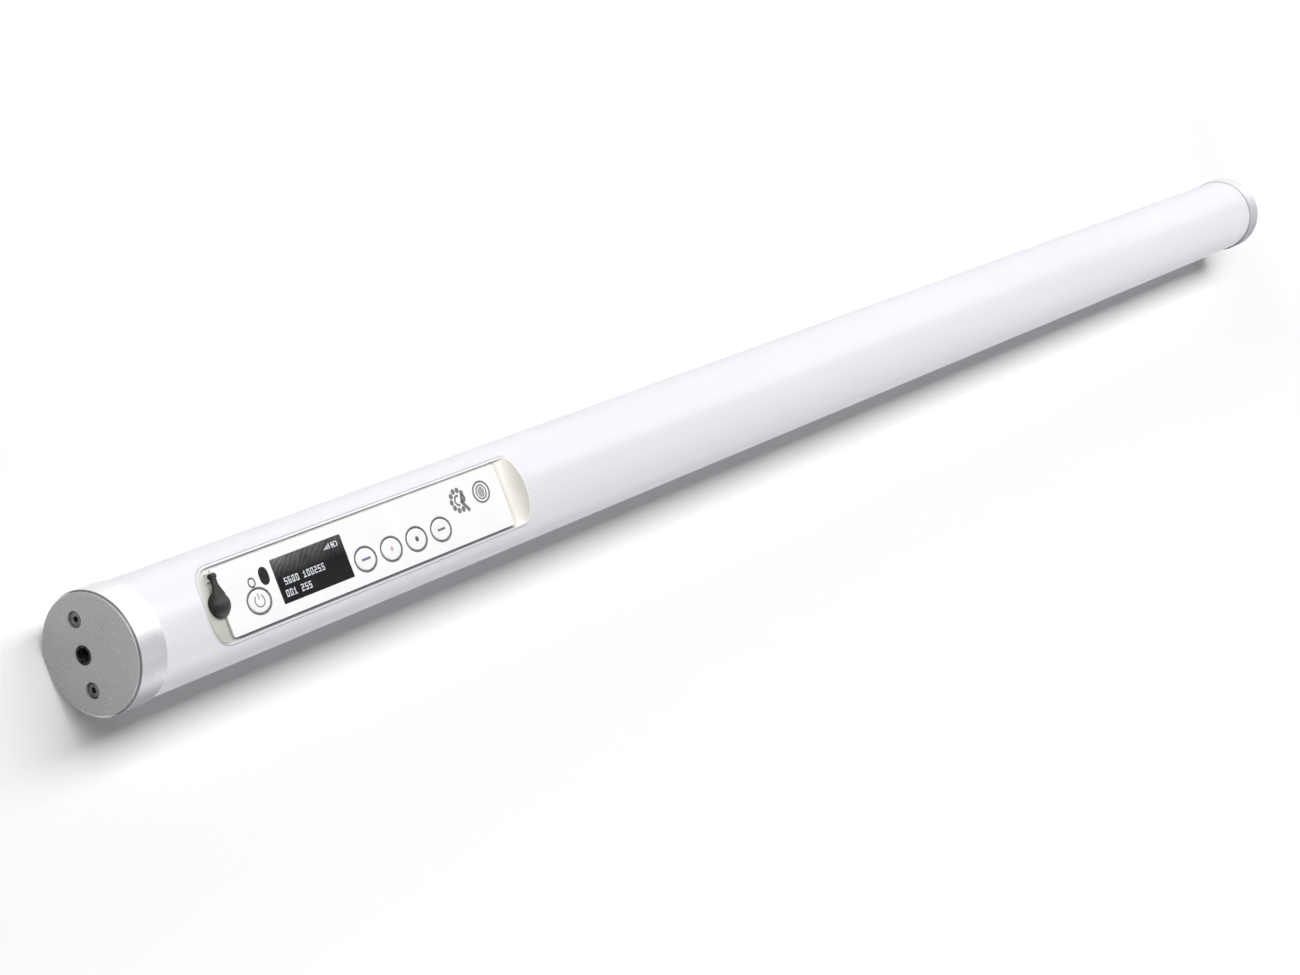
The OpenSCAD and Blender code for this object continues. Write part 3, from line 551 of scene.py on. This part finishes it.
def displayGlass():
    # sheen: the colour of a painted reflection over the glass's upper part
    values = {"glass": tone(10, 10, 12), "sheen": tone(140, 140, 138), "sheenFrom": 0.1,
              "farShare": 0.4, "streakPitch": 0.0019, "streakBend": 5, "streakTurn": 52,
              "streakShare": 0.35, "hazeSize": 0.006, "hazeShare": 0.8, "depth": 0.000004,
              "rough": (0.2, 0.34)}
    glass = Finish("display_glass", IOR=1.5, Specular_IOR_Level=0.12)
    x, y = glass.axes("XY")
    low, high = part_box("display_window")
    # painted reflection: lighter streaks and haze over the upper part, less towards the far end
    sheenStreak = glass.waves(values["streakPitch"], "X", values["streakBend"], values["streakTurn"])
    hazeAndSheen = glass.noise(values["hazeSize"])
    sheenArea = glass.spread(y, 0, 1, values["sheenFrom"] * high.y, high.y) * glass.spread(
        x, 1, values["farShare"], low.x, high.x)
    sheen = sheenArea * (sheenStreak * values["streakShare"] + hazeAndSheen * values["hazeShare"])
    return glass.finish(glass.mix(sheen, values["glass"], values["sheen"]),
                        glass.spread(hazeAndSheen, *values["rough"]), glass.relief(hazeAndSheen, values["depth"]))


def boardGreen():
    values = {"resist": tone(18, 84, 48), "track": tone(34, 112, 66), "trackPitch": 0.0013,
              "trackBend": 2.5, "trackCut": (0.72, 0.84),
              "pad": tone(196, 176, 110), "padSize": 0.0034, "padCut": (0.12, 0.18),
              "padMetal": 0.8, "weaveSize": 0.0007, "weaveShare": 0.2, "depth": 0.00001,
              "rough": (0.3, 0.48)}
    board = Finish("board_green", Coat_Weight=0.3, Coat_Roughness=0.2)
    tracks = board.spread(board.waves(values["trackPitch"], "X", values["trackBend"]),
                          0, 1, *values["trackCut"])
    weave = board.noise(values["weaveSize"])
    pads = board.spread(board.cells(values["padSize"]), 1, 0, *values["padCut"])
    colour = board.mix(tracks, values["resist"], values["track"])
    height = board.relief(tracks + weave * values["weaveShare"], values["depth"])
    return board.finish(board.mix(pads, colour, values["pad"]),
                        board.spread(weave, *values["rough"]), height,
                        Metallic=pads * values["padMetal"])


made = [plainFinish(name, **values) for name, values in plainSet.items()]
made += [opalDiffuser(), capAluminium(), whiteBoard(), ledPhosphor(), cellCan(),
         sleevePlastic(), foamTape(), trayPlastic(), displayGlass(), boardGreen()]
finishes = {material.name: material for material in made}

for part in frame["record"]["subparts"]:
    piece = nodes[part["node"]]
    material = finishes[part["material_slot"]]
    if not piece.material_slots:
        piece.data.materials.append(material)
    for slot in piece.material_slots:
        slot.material = material
anchor = nodes["strap_anchor"]      # moulded on the tray
anchor.material_slots[0].material = finishes["tray_plastic"]
print("finishes made:", len(finishes))


# inks

inkSet = {"height": 0.00004, "screenSize": 0.00035}


def ink(name, dark, pale, rough=(0.44, 0.56)):
    film = Finish(name)
    screen = film.noise(inkSet["screenSize"])
    return film.finish(film.mix(film.spread(screen, 0, 1), dark, pale),
                       film.spread(screen, *rough))


def displayGlow():
    values = {"lit": tone(196, 202, 212), "bright": tone(236, 238, 242), "strength": 0.12,
              "flickerSize": 0.0009, "rough": (0.4, 0.5)}
    lit = Finish("display_dots", Emission_Strength=values["strength"])
    flicker = lit.noise(values["flickerSize"], 2)
    shade = lit.mix(lit.spread(flicker, 0, 1), values["lit"], values["bright"])
    return lit.finish(shade, lit.spread(flicker, *values["rough"]), Emission_Color=shade)


greyInk = ink("grey_ink", tone(96, 95, 99), tone(124, 123, 127))
paleInk = ink("pale_ink", tone(150, 149, 154), tone(172, 171, 176))
# a dark ink for the painted shade in the keys' gaps
gapShadeRing = ink("key_seal", tone(50, 49, 52), tone(74, 73, 76), (0.54, 0.66))
darkInk = ink("dark_ink", tone(52, 51, 54), tone(84, 83, 86))
plumInk = ink("plum_ink", tone(104, 88, 120), tone(136, 118, 150))
roseInk = ink("rose_ink", tone(196, 172, 196), tone(214, 192, 212))
dotGlow = displayGlow()


# pieces made by geometry trees

class Recipe(Tree):  # a geometry tree with named inputs
    def __init__(self, name, **sizes):
        super().__init__(bpy.data.node_groups.new(name, "GeometryNodeTree"))
        face = self.nodeTree.interface
        face.new_socket("Geometry", in_out="INPUT", socket_type="NodeSocketGeometry")
        face.new_socket("Geometry", in_out="OUTPUT", socket_type="NodeSocketGeometry")
        self.identifiers = {}
        for size, value in sizes.items():
            socket = face.new_socket(size, in_out="INPUT", socket_type="NodeSocketFloat")
            socket.default_value = value
            self.identifiers[size] = socket.identifier
        socket = face.new_socket("Finish", in_out="INPUT", socket_type="NodeSocketMaterial")
        self.identifiers["Finish"] = socket.identifier
        self.entry = self.nodeTree.nodes.new("NodeGroupInput")

    def taken(self, *names):
        return [Link(self, self.entry.outputs[name]) for name in names]

    def close(self, shape, scale=None):  # the shape on every point, in the finish
        points, finish = self.taken("Geometry", "Finish")
        placed = self.add("GeometryNodeInstanceOnPoints", {}, {
            "Points": points, "Instance": shape, "Scale": scale})
        real = self.add("GeometryNodeRealizeInstances", {}, {0: placed})
        dressed = self.add("GeometryNodeSetMaterial", {}, {"Geometry": real, "Material": finish})
        leave = self.nodeTree.nodes.new("NodeGroupOutput")
        self.feed(leave.inputs[0], dressed)
        return self


def settle(name, mesh, body, finish):
    mesh.name = name
    mesh.materials.clear()
    mesh.materials.append(finish)
    piece = bpy.data.objects.new(name, mesh)
    bpy.context.scene.collection.objects.link(piece)
    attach(piece, body)


def grow(name, recipe, points, body, slot, finish, **sizes):
    seed = bpy.data.meshes.new(name + "_points")
    seed.from_pydata([tuple(point) for point in points], [], [])
    holder = bpy.data.objects.new(name + "_points", seed)
    bpy.context.scene.collection.objects.link(holder)
    modifier = holder.modifiers.new("recipe", "NODES")
    modifier.node_group = recipe.nodeTree
    for size, value in dict(sizes, Finish=finish).items():
        modifier[recipe.identifiers[size]] = value
    bpy.context.view_layer.update()
    shown = holder.evaluated_get(bpy.context.evaluated_depsgraph_get())
    mesh = bpy.data.meshes.new_from_object(shown)
    bpy.data.objects.remove(holder)
    bpy.data.meshes.remove(seed)
    settle(name, mesh, body, finish)


recipeSet = {"ringSteps": 96, "domeSegments": 20, "domeRings": 10, "helixSteps": 40,
             "ridgeSides": 5}


def ringRecipe():  # an oval ring on each point: half sizes to the middle of its band
    tree = Recipe("rings", Long=0.005, Wide=0.005, Band=0.0003, Height=0.00004)
    long, wide, band, height = tree.taken("Long", "Wide", "Band", "Height")
    circle = tree.add("GeometryNodeCurvePrimitiveCircle", {}, {
        "Resolution": recipeSet["ringSteps"], "Radius": 1.0})
    size = tree.add("ShaderNodeCombineXYZ", {}, {0: long, 1: wide, 2: 1.0})
    path = tree.add("GeometryNodeTransform", {}, {"Geometry": circle, "Scale": size})
    section = tree.add("GeometryNodeCurvePrimitiveQuadrilateral", {}, {
        "Width": band, "Height": height})
    return tree.close(tree.add("GeometryNodeCurveToMesh", {}, {0: path, 1: section}))


def dotRecipe():  # a small square tile on each point
    tree = Recipe("dots", Side=0.0005, Height=0.00004)
    side, height = tree.taken("Side", "Height")
    size = tree.add("ShaderNodeCombineXYZ", {}, {0: side, 1: side, 2: height})
    return tree.close(tree.add("GeometryNodeMeshCube", {}, {"Size": size}))


def domeRecipe():  # a low clear dome on each point
    tree = Recipe("domes", Radius=0.002, Rise=0.0008)
    radius, rise = tree.taken("Radius", "Rise")
    ball = tree.add("GeometryNodeMeshUVSphere", {}, {
        "Segments": recipeSet["domeSegments"], "Rings": recipeSet["domeRings"], "Radius": 1.0})
    return tree.close(ball, tree.add("ShaderNodeCombineXYZ", {}, {0: radius, 1: radius, 2: rise}))


def threadRecipe():  # a helical ridge along X from each point
    tree = Recipe("thread", Radius=0.0025, Ridge=0.0003, Turns=8.0, Length=0.01)
    radius, ridge, turns, length = tree.taken("Radius", "Ridge", "Turns", "Length")
    helix = tree.add("GeometryNodeCurveSpiral", {}, {
        "Resolution": recipeSet["helixSteps"], "Rotations": turns, "Start Radius": radius,
        "End Radius": radius, "Height": length})
    section = tree.add("GeometryNodeCurvePrimitiveCircle", {}, {
        "Resolution": recipeSet["ridgeSides"], "Radius": ridge})
    wound = tree.add("GeometryNodeCurveToMesh", {}, {0: helix, 1: section, "Fill Caps": True})
    return tree.close(tree.add("GeometryNodeTransform", {}, {
        "Geometry": wound, "Rotation": (0, math.pi / 2, 0)}))


rings, dots, domes, thread = ringRecipe(), dotRecipe(), domeRecipe(), threadRecipe()


# printed rings, and dark rings in the keys' gaps as painted shade

def middle(node):
    low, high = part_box(node)
    return (low + high) / 2


inkHeight = inkSet["height"]
labelLow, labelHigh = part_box("panel_label")
keyLow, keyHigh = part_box("power_key")

keySet = {"gap": 0.00035, "ring": 0.00055,
          "tab": 0.0009,      # how far the tab that holds a key in reaches past its cap
          "gapShadeAt": 0.52, "gapShadeFill": 0.9,      # shares of the gap
          "gapShadeHeight": 0.0003, "gapShadeSunk": 0.0002}
lensRingSet = {"Long": 0.00168, "Wide": 0.0016, "Band": 0.0005}


def ringKeys(name, z, outward, band, height, finish):  # outward: from the key's edge
    centres = [middle(key + "_key") for key in ("power", "menu", "back", "enter", "mode")]
    grow(name, rings, [(c.x, c.y, z) for c in centres], "housing", "label_film", finish,
         Long=(keyHigh.x - keyLow.x) / 2 - keySet["tab"] + outward,
         Wide=(keyHigh.y - keyLow.y) / 2 + outward, Band=band, Height=height)


# dark rings in the keys' gaps: painted shade
ringKeys("key_seals", labelHigh.z - keySet["gapShadeSunk"], keySet["gapShadeAt"] * keySet["gap"],
         keySet["gapShadeFill"] * keySet["gap"], keySet["gapShadeHeight"], gapShadeRing)
ringKeys("key_rings", labelHigh.z + inkHeight / 2, keySet["gap"] + keySet["ring"] / 2,
         keySet["ring"], inkHeight, greyInk)
lensAt = middle("status_lens")
grow("status_ring", rings, [(lensAt.x, lensAt.y, labelHigh.z + inkHeight / 2)], "housing",
     "label_film", darkInk, Height=inkHeight, **lensRingSet)
print("printed rings made")


# flat printed marks

class Print:  # flat shapes with a top, a bottom and walls, in one mesh
    def __init__(self, x, y, z):
        self.bm = bmesh.new()
        self.x, self.y, self.z = x, y, z

    def plate(self, outline):  # outline runs anticlockwise, seen from above
        low = [self.bm.verts.new((self.x + x, self.y + y, self.z)) for x, y in outline]
        made = self.bm.faces.new(low)
        raised = bmesh.ops.extrude_face_region(self.bm, geom=[made])
        top = [v for v in raised["geom"] if isinstance(v, bmesh.types.BMVert)]
        bmesh.ops.translate(self.bm, verts=top, vec=(0, 0, inkHeight))

    def disc(self, radius, x=0.0, y=0.0, squash=1.0, steps=24):
        turn = 2 * math.pi / steps
        self.plate([(x + radius * squash * math.cos(i * turn), y + radius * math.sin(i * turn))
                    for i in range(steps)])

    def bar(self, length, width, x=0.0, y=0.0, turn=0.0):
        c, s = math.cos(math.radians(turn)), math.sin(math.radians(turn))
        corners = [(-length / 2, -width / 2), (length / 2, -width / 2),
                   (length / 2, width / 2), (-length / 2, width / 2)]
        self.plate([(x + a * c - b * s, y + a * s + b * c) for a, b in corners])

    def arc(self, outer, inner, start=0, sweep=360, squash=1.0, stepTurn=8):
        steps = int(sweep / stepTurn)
        for i in range(steps):
            a, b = [math.radians(start + sweep * (i + k) / steps) for k in (0, 1)]
            self.plate([(r * squash * math.cos(t), r * math.sin(t))
                        for r, t in ((inner, a), (outer, a), (outer, b), (inner, b))])

    def done(self, name, body, finish):
        bmesh.ops.remove_doubles(self.bm, verts=self.bm.verts, dist=1e-7)
        bmesh.ops.recalc_face_normals(self.bm, faces=self.bm.faces)
        mesh = bpy.data.meshes.new(name)
        self.bm.to_mesh(mesh)
        self.bm.free()
        settle(name, mesh, body, finish)


# arcs: outer and inner radius, start, sweep, squash; discs: radius; bars: length, width, x, y
markLift = 0.000005
markSet = {
    "power": {"ink": greyInk, "arcs": [(0.0023, 0.0019, 125, 290, 1.15)],
              "bars": [(0.0004, 0.0022, 0, 0.0016)]},
    "menu": {"ink": plumInk, "bars": [(0.005, 0.0009)]},
    "back": {"ink": roseInk, "discs": [(0.0009,)]},
    "enter": {"ink": darkInk, "discs": [(0.001,)]},
    "mode": {"ink": greyInk, "bars": [(0.0046, 0.0009)]},
}
for key, shapes in markSet.items():
    centre = middle(key + "_key")
    mark = Print(centre.x, centre.y, keyHigh.z + markLift)
    for arc in shapes.get("arcs", ()):
        mark.arc(*arc)
    for disc in shapes.get("discs", ()):
        mark.disc(*disc)
    for bar in shapes.get("bars", ()):
        mark.bar(*bar)
    mark.done(key + "_mark", key + "_key", shapes["ink"])
print("key marks made")

dialSet = {"along": 0.1394, "row": 0.004, "dots": 8, "dotTurn": 36, "dotRadius": 0.00115,
           "dotSteps": 12, "dotRing": (0.00414, 0.00391), "hub": (0.00161, 0.003105, 0.0002),
           "hand": (0.00598, 0.00161, 0.003105, -0.00276, -52),
           "arc": (0.0023, 0.00138, 60, 220)}
icon = Print(labelLow.x + dialSet["along"], dialSet["row"], labelHigh.z)
for i in range(1, dialSet["dots"] + 1):
    angle = math.radians(dialSet["dotTurn"] * i)
    icon.disc(dialSet["dotRadius"], dialSet["dotRing"][0] * math.cos(angle),
              dialSet["dotRing"][1] * math.sin(angle), steps=dialSet["dotSteps"])
icon.disc(*dialSet["hub"])
icon.bar(*dialSet["hand"])
icon.arc(*dialSet["arc"])
icon.done("dial_icon", "housing", greyInk)

ringIconSet = {"along": 0.1545, "row": 0.004, "outer": (0.0044, 0.0036), "outerSquash": 1.22,
               "inner": (0.003, 0.0024), "innerSquash": 1.1, "middle": 0.0021,
               "middleSquash": 0.95}
iconSpot = (labelLow.x + ringIconSet["along"], ringIconSet["row"], labelHigh.z)
icon = Print(*iconSpot)
icon.arc(*ringIconSet["outer"], squash=ringIconSet["outerSquash"])
icon.arc(*ringIconSet["inner"], squash=ringIconSet["innerSquash"])
icon.done("ring_icon", "housing", greyInk)
icon = Print(*iconSpot)
icon.disc(ringIconSet["middle"], squash=ringIconSet["middleSquash"])
icon.done("ring_icon_middle", "housing", paleInk)
print("label icons made")


# display

displaySet = {  # rows: the digits, their start along the window, the top of the row
    "dot": 0.00052, "tile": 0.85,      # the step from dot to dot, and the tile's share of it
    "letter": 4,                       # steps from one digit to the next
    "rows": [("5600 100255", 0.1, 0.0004), ("001 255", 0.07, -0.0038)],
}
digitRows = {
    "0": ("111", "101", "101", "101", "111"), "1": ("010", "110", "010", "010", "111"),
    "2": ("111", "001", "111", "100", "111"), "5": ("111", "100", "111", "001", "111"),
    "6": ("111", "100", "111", "101", "111"),
}
windowLow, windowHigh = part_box("display_window")
windowLength = windowHigh.x - windowLow.x


def displayDots():
    points = []
    step = displaySet["dot"]
    for text, start, top in displaySet["rows"]:
        x = windowLow.x + start * windowLength
        for letter in text:
            for row, bits in enumerate(digitRows.get(letter, ())):
                for column, bit in enumerate(bits):
                    if bit == "1":
                        points.append((x + column * step, top - row * step,
                                       windowHigh.z + inkHeight / 2))
            x += displaySet["letter"] * step
    return points


grow("display_dots", dots, displayDots(), "housing", "display_glass", dotGlow,
     Side=displaySet["tile"] * displaySet["dot"], Height=inkHeight)

statusSet = {"along": 0.74, "row": 0.0048, "bars": 4, "barStep": 0.0009, "barWidth": 0.0005,
             "barLow": 0.0006, "barRise": 0.0004, "foot": -0.0003, "batteryGap": 0.0012,
             "batteryLength": 0.0034, "batteryWidth": 0.0019, "batteryRow": 0.0006,
             "charge": 0.0014, "chargeShift": -0.0006, "knob": 0.0009, "line": 0.0003}


def statusMarks(values):  # rising bars, then a battery: four walls, its charge and its knob
    status = Print(windowLow.x + values["along"] * windowLength, values["row"], windowHigh.z)
    for i in range(values["bars"]):
        tall = values["barLow"] + values["barRise"] * i
        status.bar(values["barWidth"], tall, values["barStep"] * i, tall / 2 + values["foot"])
    halfLength, halfWidth = values["batteryLength"] / 2, values["batteryWidth"] / 2
    x = values["barStep"] * (values["bars"] - 1) + values["batteryGap"] + halfLength
    y = values["batteryRow"]
    line = values["line"]
    for side in (-1, 1):
        status.bar(2 * halfLength, line, x, y + side * (halfWidth - line / 2))
        status.bar(line, 2 * (halfWidth - line), x + side * (halfLength - line / 2), y)
    status.bar(values["charge"], 2 * halfWidth - 4 * line, x + values["chargeShift"], y)
    status.bar(line, values["knob"], x + halfLength + line / 2, y)
    status.done("status_marks", "housing", dotGlow)


statusMarks(statusSet)
print("display made")


# hanging threads and lamp domes

threadSet = {"pitch": 0.00127, "ridge": 0.00022, "radius": 0.00262, "inset": 0.0005}


def hangingThread(name, node):
    low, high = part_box(node)
    centre = (low + high) / 2
    length = high.x - low.x - 2 * threadSet["inset"]
    grow(name, thread, [(low.x + threadSet["inset"], centre.y, centre.z)], "housing",
         "dark_steel", finishes["dark_steel"], Radius=threadSet["radius"],
         Ridge=threadSet["ridge"], Turns=length / threadSet["pitch"], Length=length)


hangingThread("near_thread", "near_thread_insert")
hangingThread("far_thread", "far_thread_insert")

domeSet = {"perRow": 48, "lampSide": 0.005, "radius": 0.0019, "rise": 0.0007}
lampLow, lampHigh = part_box("led_emitters")
halfLamp = domeSet["lampSide"] / 2
lampStep = (lampHigh.x - lampLow.x - 2 * halfLamp) / (domeSet["perRow"] - 1)
lampPoints = [(lampLow.x + halfLamp + i * lampStep, y, lampHigh.z)
              for i in range(domeSet["perRow"])
              for y in (lampLow.y + halfLamp, lampHigh.y - halfLamp)]
grow("lamp_domes", domes, lampPoints, "housing", "lens_clear", finishes["lens_clear"],
     Radius=domeSet["radius"], Rise=domeSet["rise"])
print("threads and lamp domes made")

bpy.context.scene.view_settings.view_transform = "Standard"
